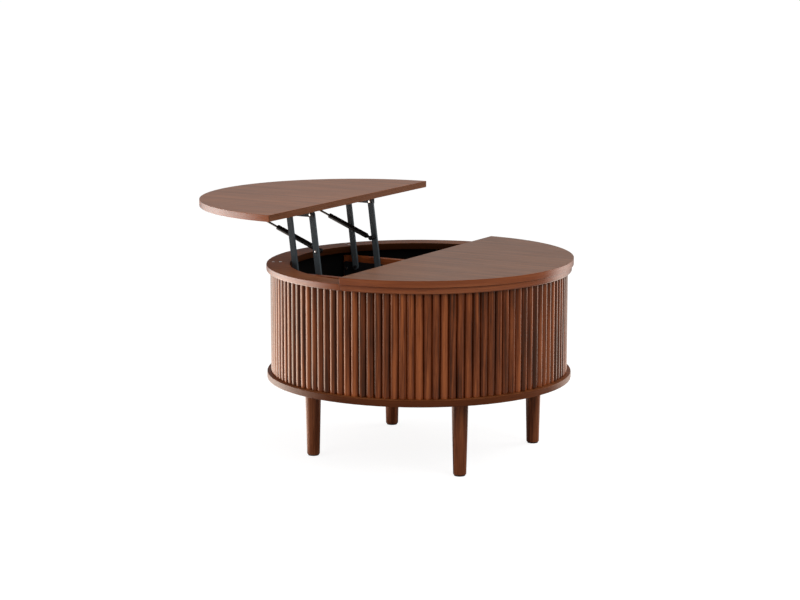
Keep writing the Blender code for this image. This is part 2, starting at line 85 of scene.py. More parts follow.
def mathNode(tree, operation, first, second=0.0):
    return addNode(tree, "Math", {0: first, 1: second}, operation=operation).outputs[0]


def newGroup(name, inputs, outputs):
    group = bpy.data.node_groups.new(name, "ShaderNodeTree")
    for kind, label, value in inputs:
        socket = group.interface.new_socket(label, in_out="INPUT", socket_type="NodeSocket" + kind)
        if value is not None:
            socket.default_value = value
    for kind, label in outputs:
        group.interface.new_socket(label, in_out="OUTPUT", socket_type="NodeSocket" + kind)
    return group, group.nodes.new("NodeGroupInput").outputs, group.nodes.new("NodeGroupOutput").inputs


def stretchedNoise(tree, vector, stretch, detail, roughness):
    mapped = addNode(tree, "Mapping", {"Vector": vector, "Scale": stretch})
    wires = {"Vector": mapped.outputs[0], "Scale": 1.0, "Detail": detail, "Roughness": roughness}
    return addNode(tree, "TexNoise", wires).outputs[0]


def remap(tree, value, low, high, toLow=0.0, toHigh=1.0):
    wires = {"Value": value, "From Min": low, "From Max": high, "To Min": toLow, "To Max": toHigh}
    return addNode(tree, "MapRange", wires).outputs[0]


# walnut grain: the fibre runs along the vector's X
# each layer has its stretch per metre, its detail and its roughness
grainLayers = {
    "sway": ((2.2, 9.0, 9.0), 2.0, 0.5),
    "bands": ((1.3, 30.0, 30.0), 4.0, 0.55),
    "streaks": ((3.0, 110.0, 110.0), 4.0, 0.6),
    "fibre": ((9.0, 420.0, 420.0), 3.0, 0.6),
    "pores": ((26.0, 900.0, 900.0), 2.0, 0.5),
}
grainMix = {"bands": 0.5, "streaks": 0.32, "fibre": 0.18, "tone": (0.34, 0.66), "pores": (0.60, 0.70),
            "relief": 0.6}


def makeWalnutFigure():
    inputs = (("Vector", "Along Grain", None), ("Float", "Swirl", 0.01), ("Float", "Fineness", 1.0),
              ("Float", "Contrast", 1.0))
    outputs = (("Float", "Tone"), ("Float", "Pores"), ("Float", "Height"))
    group, start, end = newGroup("walnutFigure", inputs, outputs)
    sway = stretchedNoise(group, start["Along Grain"], *grainLayers["sway"])
    sway = mathNode(group, "MULTIPLY", mathNode(group, "SUBTRACT", sway, 0.5), start["Swirl"])
    shift = addNode(group, "CombineXYZ", {"Y": sway, "Z": sway}).outputs[0]
    swayed = addNode(group, "VectorMath", {0: start["Along Grain"], 1: shift}, operation="ADD").outputs[0]
    wires = {0: swayed, "Scale": start["Fineness"]}
    swayed = addNode(group, "VectorMath", wires, operation="SCALE").outputs[0]
    bands = stretchedNoise(group, swayed, *grainLayers["bands"])
    streaks = stretchedNoise(group, swayed, *grainLayers["streaks"])
    fibre = stretchedNoise(group, swayed, *grainLayers["fibre"])
    pores = remap(group, stretchedNoise(group, swayed, *grainLayers["pores"]), *grainMix["pores"])
    tone = mathNode(group, "ADD", mathNode(group, "MULTIPLY", bands, grainMix["bands"]),
                    mathNode(group, "MULTIPLY", streaks, grainMix["streaks"]))
    tone = mathNode(group, "ADD", tone, mathNode(group, "MULTIPLY", fibre, grainMix["fibre"]))
    centred = mathNode(group, "SUBTRACT", remap(group, tone, *grainMix["tone"]), 0.5)
    spread = mathNode(group, "MULTIPLY", centred, start["Contrast"])
    group.links.new(mathNode(group, "ADD", spread, 0.5), end["Tone"])
    group.links.new(pores, end["Pores"])
    height = mathNode(group, "SUBTRACT", mathNode(group, "MULTIPLY", fibre, grainMix["relief"]), pores)
    group.links.new(height, end["Height"])
    return group


# handled lacquer and paint are never evenly glossy
satin = {"cloudScale": 14.0, "cloudDetail": 3.0, "speckScale": 160.0, "speckDetail": 2.0}


def makeSatinPatches():
    group, start, end = newGroup("satinPatches", (("Vector", "Vector", None), ("Float", "Roughness", 0.4),
                                                  ("Float", "Amount", 0.1)), (("Float", "Roughness"),))
    wires = {"Vector": start["Vector"], "Scale": satin["cloudScale"], "Detail": satin["cloudDetail"]}
    cloud = addNode(group, "TexNoise", wires).outputs[0]
    wires = {"Vector": start["Vector"], "Scale": satin["speckScale"], "Detail": satin["speckDetail"]}
    speck = addNode(group, "TexNoise", wires).outputs[0]
    both = mathNode(group, "SUBTRACT", mathNode(group, "ADD", cloud, speck), 1.0)
    spread = mathNode(group, "MULTIPLY", both, start["Amount"])
    group.links.new(mathNode(group, "ADD", spread, start["Roughness"]), end["Roughness"])
    return group


walnutFigure = makeWalnutFigure()
satinPatches = makeSatinPatches()


def objectPlace(tree):
    return addNode(tree, "TexCoord").outputs["Object"]


def grainAlong(tree, order):
    split = addNode(tree, "SeparateXYZ", {0: objectPlace(tree)})
    wires = {index: split.outputs[axis] for index, axis in enumerate(order)}
    return addNode(tree, "CombineXYZ", wires).outputs[0]


def grainAround(tree, centreY, radius):
    centred = addNode(tree, "Mapping", {"Vector": objectPlace(tree), "Location": (0, -centreY, 0)})
    split = addNode(tree, "SeparateXYZ", {0: centred.outputs[0]})
    turn = mathNode(tree, "ARCTAN2", split.outputs["Y"], split.outputs["X"])
    wires = {"X": mathNode(tree, "MULTIPLY", turn, radius), "Y": split.outputs["Z"], "Z": 0.0}
    return addNode(tree, "CombineXYZ", wires).outputs[0]


def newFinish(name):
    material = bpy.data.materials.new(name)
    material.use_nodes = True
    return material, material.node_tree, material.node_tree.nodes["Principled BSDF"]


def rampOf(tree, value, stops):
    ramp = addNode(tree, "ValToRGB", {0: value})
    while len(ramp.color_ramp.elements) < len(stops):
        ramp.color_ramp.elements.new(0.5)
    for element, (place, colour) in zip(ramp.color_ramp.elements, stops):
        element.position = place
        element.color = (*colour, 1)
    return ramp.outputs[0]


def mixColour(tree, factor, first, second, blend="MIX"):
    mix = addNode(tree, "Mix", data_type="RGBA", blend_type=blend)
    for socket, value in zip((mix.inputs[0], mix.inputs[6], mix.inputs[7]), (factor, first, second)):
        if isinstance(value, bpy.types.NodeSocket):
            tree.links.new(value, socket)
        else:
            socket.default_value = value
    return mix.outputs[2]


# each tone runs from the darkest fibre to the lightest
walnutTones = {
    "face": ((0.0, (0.150, 0.055, 0.022)), (0.5, (0.265, 0.102, 0.042)), (1.0, (0.390, 0.160, 0.070))),
    "edge": ((0.0, (0.150, 0.034, 0.009)), (0.5, (0.320, 0.078, 0.020)), (1.0, (0.480, 0.140, 0.042))),
    # the lift board's banding: the edge tone painted lighter, a painted highlight along the raised board's edge
    "liftEdge": ((0.0, (0.200, 0.048, 0.013)), (0.5, (0.420, 0.108, 0.028)), (1.0, (0.600, 0.185, 0.056))),
    # the lift top: the top veneer painted lighter, as painted light on the raised lift top
    "lift": ((0.0, (0.210, 0.070, 0.025)), (0.5, (0.362, 0.126, 0.048)), (1.0, (0.518, 0.195, 0.080))),
    # the rims: the top veneer painted darker, as painted shade on the rims under the raised lift top and on the
    # base disc's ledge at the flutes' foot
    "rim": ((0.0, (0.120, 0.034, 0.010)), (0.5, (0.215, 0.066, 0.020)), (1.0, (0.320, 0.108, 0.036))),
    "chord": ((0.0, (0.095, 0.030, 0.012)), (0.5, (0.165, 0.057, 0.023)), (1.0, (0.245, 0.090, 0.038))),
    "base": ((0.0, (0.075, 0.017, 0.004)), (0.5, (0.155, 0.038, 0.010)), (1.0, (0.245, 0.070, 0.020))),
    # the rim's inner edge: the banding painted nearly black, as painted shade above the dark cavity
    "inner": ((0.0, (0.018, 0.005, 0.002)), (0.5, (0.048, 0.014, 0.004)), (1.0, (0.088, 0.026, 0.008))),
    "slat": ((0.0, (0.084, 0.020, 0.005)), (0.5, (0.268, 0.064, 0.017)), (1.0, (0.490, 0.134, 0.038))),
    "leg": ((0.0, (0.115, 0.030, 0.011)), (0.5, (0.265, 0.075, 0.027)), (1.0, (0.420, 0.132, 0.050))),
}
lacquer = {"patches": 0.06, "warm": (1.0, 0.82, 0.68), "coat": 0.05, "coatRoughness": 0.25, "bump": 0.08,
           "bumpDepth": 0.0004, "pores": 0.45, "poreColour": (0.03, 0.010, 0.005, 1)}


# reeded skin: half-round slats, their colour darkened towards the grooves between them as painted shade, with a
# lighter crest down each slat as a painted highlight
slat = {"perQuarter": 29, "depth": 0.0075, "web": 0.0012, "arcPoints": 32, "seed": 7, "spread": 0.16,
        "patches": 0.02, "bump": 0.03, "clouds": 0.26, "cloudSize": (7.0, 60.0, 60.0),
        "cloudLimits": (0.3, 0.7), "grainApart": 9.0, "figureShare": 0.8, "darkest": -0.16,
        "lightest": 0.32, "flatReach": 1e-6,
        # painted shade by depth below the crest, from the groove floor (0) to the crest (1), where it leaves a
        # painted highlight
        "stain": ((0.0, (0.44, 0.36, 0.32)), (0.45, (0.64, 0.56, 0.52)), (0.85, (0.80, 0.76, 0.75)),
                  (0.98, (1.0, 1.0, 1.0)))}


# painted shade: the colour falls from white at each slat's crest to dark at the groove floor, by distance from the
# drum's axis
def paintedGrooveShade(tree):
    centred = addNode(tree, "Mapping", {"Vector": objectPlace(tree), "Location": (0, -drumAxis.y, 0)})
    split = addNode(tree, "SeparateXYZ", {0: centred.outputs[0]})
    flat = addNode(tree, "CombineXYZ", {"X": split.outputs["X"], "Y": split.outputs["Y"]}).outputs[0]
    outward = addNode(tree, "VectorMath", {0: flat}, operation="LENGTH").outputs["Value"]
    depth = remap(tree, outward, fluteHigh.x - slat["depth"], fluteHigh.x)
    return rampOf(tree, depth, slat["stain"])


def walnutFinish(name, tones, grain, swirl=0.012, fineness=1.0, contrast=1.0, roughness=0.36, specular=0.4,
                 tint=(1.0, 1.0, 1.0), perSlat=False):
    material, tree, shader = newFinish(name)
    coating = slat if perSlat else lacquer
    vector = grain(tree)
    if perSlat:
        ownTone = addNode(tree, "Attribute", attribute_name="slatTone").outputs["Fac"]
        apart = mathNode(tree, "MULTIPLY", ownTone, slat["grainApart"])
        apart = addNode(tree, "CombineXYZ", {axis: apart for axis in "XYZ"}).outputs[0]
        vector = addNode(tree, "VectorMath", {0: vector, 1: apart}, operation="ADD").outputs[0]
    figure = addNode(tree, "Group", node_tree=walnutFigure)
    tree.links.new(vector, figure.inputs["Along Grain"])
    figure.inputs["Swirl"].default_value = swirl
    figure.inputs["Fineness"].default_value = fineness
    figure.inputs["Contrast"].default_value = contrast
    tone = figure.outputs["Tone"]
    if perSlat:
        tone = mathNode(tree, "ADD", mathNode(tree, "MULTIPLY", tone, slat["figureShare"]),
                        remap(tree, ownTone, 0, 1, slat["darkest"], slat["lightest"]))
        clouds = stretchedNoise(tree, vector, slat["cloudSize"], 3.0, 0.5)
        clouds = remap(tree, clouds, *slat["cloudLimits"], -slat["clouds"] / 2, slat["clouds"] / 2)
        tone = mathNode(tree, "ADD", tone, clouds)
    colour = rampOf(tree, tone, walnutTones[tones])
    if perSlat:
        # the painted groove shade and crest highlight are multiplied into the slat colour
        colour = mixColour(tree, 1.0, colour, paintedGrooveShade(tree), "MULTIPLY")
    pores = mathNode(tree, "MULTIPLY", figure.outputs["Pores"], lacquer["pores"])
    tree.links.new(mixColour(tree, pores, colour, lacquer["poreColour"]), shader.inputs["Base Color"])
    patches = addNode(tree, "Group", node_tree=satinPatches)
    tree.links.new(objectPlace(tree), patches.inputs["Vector"])
    patches.inputs["Roughness"].default_value = roughness
    patches.inputs["Amount"].default_value = coating["patches"]
    tree.links.new(patches.outputs[0], shader.inputs["Roughness"])
    bump = addNode(tree, "Bump", {"Strength": coating["bump"], "Distance": lacquer["bumpDepth"]})
    tree.links.new(figure.outputs["Height"], bump.inputs["Height"])
    tree.links.new(bump.outputs[0], shader.inputs["Normal"])
    shader.inputs["Specular IOR Level"].default_value = specular
    shader.inputs["Specular Tint"].default_value = (*tint, 1)
    shader.inputs["Coat Weight"].default_value = lacquer["coat"]
    shader.inputs["Coat Roughness"].default_value = lacquer["coatRoughness"]
    return material


# paints, platings and plastics: fine speckle between a dark and a light tone
speckle = {"detail": 3.0, "dark": 0.3, "light": 0.7, "bumpDepth": 0.0003}


def plainFinish(name, dark, light, roughness, amount, scale, bump, metallic=0.0, specular=0.5):
    material, tree, shader = newFinish(name)
    wires = {"Vector": objectPlace(tree), "Scale": scale, "Detail": speckle["detail"]}
    noise = addNode(tree, "TexNoise", wires).outputs[0]
    colour = rampOf(tree, noise, ((speckle["dark"], dark), (speckle["light"], light)))
    tree.links.new(colour, shader.inputs["Base Color"])
    patches = addNode(tree, "Group", node_tree=satinPatches)
    tree.links.new(objectPlace(tree), patches.inputs["Vector"])
    patches.inputs["Roughness"].default_value = roughness
    patches.inputs["Amount"].default_value = amount
    tree.links.new(patches.outputs[0], shader.inputs["Roughness"])
    wires = {"Strength": bump, "Distance": speckle["bumpDepth"], "Height": noise}
    tree.links.new(addNode(tree, "Bump", wires).outputs[0], shader.inputs["Normal"])
    shader.inputs["Metallic"].default_value = metallic
    shader.inputs["Specular IOR Level"].default_value = specular
    return material


def along(order):
    return lambda tree: grainAlong(tree, order)


def around(centreY, radius):
    return lambda tree: grainAround(tree, centreY, radius)


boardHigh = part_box("lift_top")[1]
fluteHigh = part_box("fluted_panel_rear_right")[1]
warm = lacquer["warm"]
bandRadius = {"drum": 0.346, "lift": 0.350, "inner": 0.293}
drumBand = around(drumAxis.y, bandRadius["drum"])
topFace = walnutFinish("walnutTopVeneer", "face", along("YXZ"), fineness=2.6, contrast=1.1, roughness=0.30)
# painted light: the lift top is the same veneer as the fixed top, given a lighter tone
litLiftFace = walnutFinish("walnutLiftVeneer", "lift", along("YXZ"), fineness=2.6, contrast=1.1, roughness=0.30)
# painted shade: the rims and the base ledge take a darker copy of the veneer
shadedRimFace = walnutFinish("walnutRimVeneer", "rim", along("YXZ"), fineness=2.0, roughness=0.5, specular=0.25)
chordBand = walnutFinish("walnutChordBand", "chord", along("XZY"), swirl=0.004, roughness=0.55, specular=0.08,
                         tint=warm)
roundBand = walnutFinish("walnutRoundBand", "edge", drumBand, swirl=0.004, roughness=0.22, specular=0.6)
baseBand = walnutFinish("walnutBaseBand", "base", drumBand, swirl=0.004, specular=0.25, tint=warm)
# painted highlight: the lift board's banding takes the lighter copy of the edge tone
liftBand = walnutFinish("walnutLiftBand", "liftEdge", around(boardHigh.y, bandRadius["lift"]), swirl=0.004,
                        roughness=0.22, specular=0.55)
# painted shade: the rim's inner edge takes the near-black inner tone
shadedInnerBand = walnutFinish("walnutInnerBand", "inner", around(drumAxis.y, bandRadius["inner"]), swirl=0.004,
                         specular=0.15)
slatWalnut = walnutFinish("flutedWalnut", "slat", along("ZXY"), swirl=0.006, fineness=1.6, contrast=2.7,
                          roughness=0.17, specular=0.55, tint=warm, perSlat=True)
legWalnut = walnutFinish("turnedWalnut", "leg", along("ZXY"), swirl=0.010, fineness=1.5, contrast=2.0,
                         specular=0.3, tint=warm)
panelWalnut = walnutFinish("panelWalnut", "edge", along("YZX"))
blackLining = plainFinish("blackLining", (0.003, 0.003, 0.003), (0.006, 0.006, 0.006), roughness=0.55,
                          amount=0.12, scale=500, bump=0.15, specular=0.2)
blackSteel = plainFinish("blackPowderCoat", (0.008, 0.009, 0.010), (0.016, 0.017, 0.019), roughness=0.42,
                         amount=0.10, scale=900, bump=0.12, specular=0.3)
slateSteel = plainFinish("slatePowderCoat", (0.060, 0.076, 0.086), (0.084, 0.105, 0.118), roughness=0.50,
                         amount=0.10, scale=900, bump=0.12, specular=0.2)
strutBlack = plainFinish("blackStrutPaint", (0.004, 0.004, 0.004), (0.008, 0.008, 0.008), roughness=0.38,
                         amount=0.08, scale=400, bump=0.04, specular=0.15)
zincPlate = plainFinish("brightZinc", (0.66, 0.66, 0.66), (0.84, 0.84, 0.83), roughness=0.24, amount=0.12,
                        scale=700, bump=0.06, metallic=1.0)
rodSteel = plainFinish("blackRod", (0.012, 0.012, 0.013), (0.022, 0.022, 0.023), roughness=0.22,
                       amount=0.06, scale=400, bump=0.03)
brownNylon = plainFinish("brownNylon", (0.05, 0.032, 0.022), (0.07, 0.048, 0.034), roughness=0.52,
                         amount=0.08, scale=300, bump=0.2)
clearPad = plainFinish("softPad", (0.93, 0.91, 0.89), (0.98, 0.97, 0.96), roughness=0.12, amount=0.04,
                       scale=200, bump=0.02, specular=1.0)
print("finishes made")


# modelling helpers, distances in metres and angles in degrees
weld = {"copied": 0.00002, "eased": 0.000005, "turned": 0.000002, "flat": 0.3}
smoothAngle = {"board": 48, "slat": 40, "hardware": 40, "leg": 50, "strut": 40, "pin": 45, "screw": 35}


def takeOnly(piece):
    bpy.ops.object.select_all(action="DESELECT")
    piece.select_set(True)
    bpy.context.view_layer.objects.active = piece


def copyOfNode(node, name):
    piece = bpy.data.objects.new(name, frame["nodes"][node].data.copy())
    bpy.context.scene.collection.objects.link(piece)
    takeOnly(piece)
    bpy.ops.mesh.customdata_custom_splitnormals_clear()
    bpy.ops.object.mode_set(mode="EDIT")
    bpy.ops.mesh.select_all(action="SELECT")
    bpy.ops.mesh.remove_doubles(threshold=weld["copied"])
    bpy.ops.mesh.dissolve_limited(angle_limit=radians(weld["flat"]))
    bpy.ops.object.mode_set(mode="OBJECT")
    piece.data.materials.clear()
    return piece


def easeEdges(piece, width, segments, angle=40):
    takeOnly(piece)
    bevel = piece.modifiers.new("easedEdges", "BEVEL")
    bevel.width = width
    bevel.segments = segments
    bevel.limit_method = "ANGLE"
    bevel.angle_limit = radians(angle)
    bpy.ops.object.modifier_apply(modifier=bevel.name)
    bpy.ops.object.mode_set(mode="EDIT")
    bpy.ops.mesh.select_all(action="SELECT")
    bpy.ops.mesh.remove_doubles(threshold=weld["eased"])
    bpy.ops.mesh.dissolve_degenerate(threshold=weld["eased"])
    bpy.ops.object.mode_set(mode="OBJECT")


def smoothByAngle(piece, angle):
    takeOnly(piece)
    bpy.ops.object.shade_smooth_by_angle(angle=radians(angle))
    flats = piece.modifiers.new("flatFaces", "WEIGHTED_NORMAL")
    flats.keep_sharp = True
    bpy.ops.object.modifier_apply(modifier=flats.name)


def seat(piece, node):
    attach(piece, nodeBody[node])
    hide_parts(node)


def camel(node):
    first, *rest = node.split("_")
    return first + "".join(word.capitalize() for word in rest)


# boards: face veneer above and below, banding round the edges
boards = {
    "fixed_top": {"ease": 0.0, "face": topFace, "band": roundBand},
    "lift_top": {"ease": 0.0, "face": litLiftFace, "band": liftBand},
    "rim_front": {"ease": 0.0006, "face": shadedRimFace, "band": roundBand},
    "rim_rear": {"ease": 0.0006, "face": shadedRimFace, "band": roundBand},
    # the base disc's ledge takes the darker rim tone: a painted shadow line where the flutes meet it
    "base_disc": {"ease": 0.0, "face": shadedRimFace, "band": baseBand},
}


boardFaces = {"level": 0.85, "inward": -0.02, "straight": 0.95, "chordReach": 0.003, "easeSteps": 2,
              "easeAngle": 60}


def makeBoard(node, ease, face, band):
    piece = copyOfNode(node, camel(node))
    if ease:
        easeEdges(piece, ease, boardFaces["easeSteps"], boardFaces["easeAngle"])
    for finish in (face, band, chordBand, shadedInnerBand):
        piece.data.materials.append(finish)
    chordY = boardHigh.y if node == "lift_top" else drumAxis.y
    for patch in piece.data.polygons:
        outward = (patch.center - drumAxis).xy.dot(patch.normal.xy)
        onChord = abs(patch.center.y - chordY) < boardFaces["chordReach"]
        if abs(patch.normal.z) > boardFaces["level"]:
            patch.material_index = 0
        # the rim's inner faces get the darkened inner banding, painted shade
        elif node.startswith("rim") and outward < boardFaces["inward"]:
            patch.material_index = 3
        elif abs(patch.normal.y) > boardFaces["straight"] and onChord:
            patch.material_index = 2
        else:
            patch.material_index = 1
    smoothByAngle(piece, smoothAngle["board"])
    seat(piece, node)


for node, board in boards.items():
    makeBoard(node, **board)
print("boards done")


# one slat is modelled, then copied round each quarter of the drum
quarters = ("rear_right", "rear_left", "front_left", "front_right")


def makeSlat(groove, pitch, low, high):
    bpy.ops.object.select_all(action="DESELECT")
    bpy.ops.mesh.primitive_circle_add(vertices=slat["arcPoints"], radius=1, fill_type="NGON",
                                      location=(0, 0, low))
    piece = bpy.context.object
    bpy.ops.object.transform_apply(location=True)
    bpy.ops.object.mode_set(mode="EDIT")
    bpy.ops.mesh.select_all(action="SELECT")
    bpy.ops.transform.resize(value=(slat["depth"], groove * pitch / 2, 1))
    bpy.ops.mesh.bisect(plane_co=(0, 0, low), plane_no=(1, 0, 0), clear_inner=True)
    bpy.ops.object.mode_set(mode="OBJECT")
    for edge in piece.data.edges:
        edge.select = all(abs(piece.data.vertices[index].co.x) < slat["flatReach"] for index in edge.vertices)
    bpy.ops.object.mode_set(mode="EDIT")
    bpy.ops.mesh.select_mode(type="EDGE")
    bpy.ops.mesh.extrude_region_move(TRANSFORM_OT_translate={"value": (-slat["web"], 0, 0)})
    bpy.ops.mesh.select_all(action="SELECT")
    bpy.ops.mesh.extrude_region_move(TRANSFORM_OT_translate={"value": (0, 0, high - low)})
    bpy.ops.mesh.select_all(action="SELECT")
    bpy.ops.transform.translate(value=(groove, 0, 0))
    bpy.ops.mesh.normals_make_consistent(inside=False)
    bpy.ops.object.mode_set(mode="OBJECT")
    return piece


def makeFlutedPanels():
    low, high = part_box("fluted_panel_rear_right")
    outer = max(high.x, high.y - drumAxis.y)
    groove = outer - slat["depth"]
    pitch = pi / 2 / slat["perQuarter"]
    pattern = makeSlat(groove, pitch, low.z, high.z)
    tones = random.Random(slat["seed"])
    for quarter, name in enumerate(quarters):
        copies = []
        for index in range(slat["perQuarter"]):
            copy = bpy.data.objects.new("slat", pattern.data.copy())
            copy.location = drumAxis
            copy.rotation_euler.z = quarter * pi / 2 + (index + 0.5) * pitch
            bpy.context.scene.collection.objects.link(copy)
            tone = min(max(tones.gauss(0.5, slat["spread"]), 0), 1)
            values = copy.data.attributes.new("slatTone", "FLOAT", "POINT")
            values.data.foreach_set("value", [tone] * len(copy.data.vertices))
            copies.append(copy)
        takeOnly(copies[0])
        for copy in copies:
            copy.select_set(True)
        bpy.ops.object.join()
        piece = bpy.context.object
        piece.name = camel("fluted_panel_" + name)
        bpy.ops.object.transform_apply(location=True, rotation=True, scale=True)
        piece.data.materials.append(slatWalnut)
        smoothByAngle(piece, smoothAngle["slat"])
        seat(piece, "fluted_panel_" + name)
    bpy.data.objects.remove(pattern)


makeFlutedPanels()
print("fluted panels done")


# flat and pressed pieces keep their CAD shape, with eased edges
hardware = {
    "leg_plate": {"ease": 0.0004, "segments": 2, "finish": blackSteel},
    "foot_glide": {"ease": 0.0006, "segments": 2, "finish": brownNylon},
    "stop_pad": {"ease": 0.0004, "segments": 3, "finish": clearPad},
    "mounting_panel": {"ease": 0.0010, "segments": 2, "finish": panelWalnut},
    "base_plate": {"ease": 0.0004, "segments": 2, "finish": blackSteel},
    "front_arm": {"ease": 0.0005, "segments": 2, "finish": slateSteel},
    "rear_arm": {"ease": 0.0005, "segments": 2, "finish": slateSteel},
    "top_bracket": {"ease": 0.0004, "segments": 2, "finish": blackSteel},
    "drum_shell": {"ease": 0.0, "segments": 0, "finish": blackLining},
}


def makeHardware(node, ease, segments, finish):
    piece = copyOfNode(node, camel(node))
    if ease:
        easeEdges(piece, ease, segments)
    piece.data.materials.append(finish)
    smoothByAngle(piece, smoothAngle["hardware"])
    seat(piece, node)


for node in sorted(nodeBody):
    ending = max((key for key in hardware if node.endswith(key)), key=len, default=None)
    if ending:
        makeHardware(node, **hardware[ending])
    elif node.endswith("leg_bolt"):
        frame["nodes"][node].material_slots[0].material = zincPlate
print("hardware done")


# turned pieces: half of the outline is drawn point by point as radius and height, then spun round Z
def turnProfile(name, points, steps):
    bpy.ops.object.select_all(action="DESELECT")
    bpy.ops.mesh.primitive_plane_add(size=0.001, location=(0, 0, 0))
    piece = bpy.context.object
    piece.name = name
    bpy.ops.object.mode_set(mode="EDIT")
    bpy.ops.mesh.select_mode(type="VERT")
    bpy.ops.mesh.select_all(action="SELECT")
    bpy.ops.mesh.merge(type="CENTER")
    bpy.ops.transform.translate(value=(points[0][0], 0, points[0][1]))
    for (radius, height), (nextRadius, nextHeight) in zip(points, points[1:]):
        step = (nextRadius - radius, 0, nextHeight - height)
        bpy.ops.mesh.extrude_vertices_move(TRANSFORM_OT_translate={"value": step})
    bpy.ops.mesh.select_all(action="SELECT")
    bpy.ops.mesh.spin(steps=steps, angle=2 * pi, center=(0, 0, 0), axis=(0, 0, 1))
    bpy.ops.mesh.select_all(action="SELECT")
    bpy.ops.mesh.remove_doubles(threshold=weld["turned"])
    bpy.ops.mesh.normals_make_consistent(inside=False)
    bpy.ops.mesh.select_mode(type="EDGE")
    bpy.ops.object.mode_set(mode="OBJECT")
    return piece


def putAt(piece, place, turn=(0, 0, 0)):
    takeOnly(piece)
    piece.location = place
    piece.rotation_euler = turn
    bpy.ops.object.transform_apply(location=True, rotation=True, scale=True)


def joinPieces(name, pieces, finish, angle):
    takeOnly(pieces[0])
    for piece in pieces:
        piece.select_set(True)
    if len(pieces) > 1:
        bpy.ops.object.join()
    whole = bpy.context.object
    whole.name = name
    whole.data.name = name
    whole.data.materials.clear()
    whole.data.materials.append(finish)
    smoothByAngle(whole, angle)
    return whole


# tapered legs, rounded at the foot and eased at the top; the quarter round is given as shares of its radius
leg = {"footRadius": 0.0145, "footRound": 0.0016, "topRound": 0.0008, "topShare": 0.3, "steps": 72,
       "quarterRound": ((1, 0), (0.62, 0.08), (0.29, 0.29), (0.08, 0.62))}


def makeLeg(node):
    low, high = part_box(node)
    top = (high.x - low.x) / 2
    foot, footRound, topRound = leg["footRadius"], leg["footRound"], leg["topRound"]
    taper = (top - foot) / (high.z - low.z)
    eased = topRound * leg["topShare"]
    points = [(0, low.z)]
    points += [(foot - footRound * inward, low.z + footRound * up) for inward, up in leg["quarterRound"]]
    points += [(foot + footRound * taper, low.z + footRound), (top - topRound * taper, high.z - topRound)]
    points += [(top - eased, high.z - eased), (top - topRound, high.z), (0, high.z)]
    piece = turnProfile("leg", points, leg["steps"])
    putAt(piece, ((low.x + high.x) / 2, (low.y + high.y) / 2, 0))
    seat(joinPieces(camel(node), [piece], legWalnut, smoothAngle["leg"]), node)


for row in ("front", "rear"):
    for sideName in sides:
        makeLeg(f"{row}_{sideName}_leg")
print("legs done")


# gas struts: turned tube with a crimp behind its gland, thin rod, an eye at each end
# the crimp, the lip and the gland are measured back from the tube's open end
strut = {"tube": 0.006, "rod": 0.0025, "rodInTube": 0.003, "rodEnd": 0.7, "steps": 48,
         "eye": 0.0055, "eyeHole": 0.0028, "eyeWidth": 0.007, "eyeEdge": 0.0007, "edgeShare": 0.3,
         "neck": 0.6, "plug": 0.006, "shoulder": 0.8, "shoulderLow": 0.0008, "shoulderHigh": 0.0006,
         "crimp": 0.0006, "crimpAt": (0.0125, 0.0115, 0.0100, 0.0090), "lip": 0.0014, "lipEdge": 0.0004,
         "gland": 0.0009, "glandDepth": 0.0020, "bore": 0.0003,
         "stud": 0.0025, "studHead": 1.3, "studEdge": 0.0006}


def makeEye(place, hole):
    eye, half, edge = strut["eye"], strut["eyeWidth"] / 2, strut["eyeEdge"]
    part = edge * strut["edgeShare"]
    ring = [(hole, -half), (eye - edge, -half), (eye - part, -half + part), (eye, -half + edge),
            (eye, half - edge), (eye - part, half - part), (eye - edge, half), (hole, half), (hole, -half)]
    piece = turnProfile("eye", ring, strut["steps"])
    putAt(piece, place, (0, pi / 2, 0))
    return piece


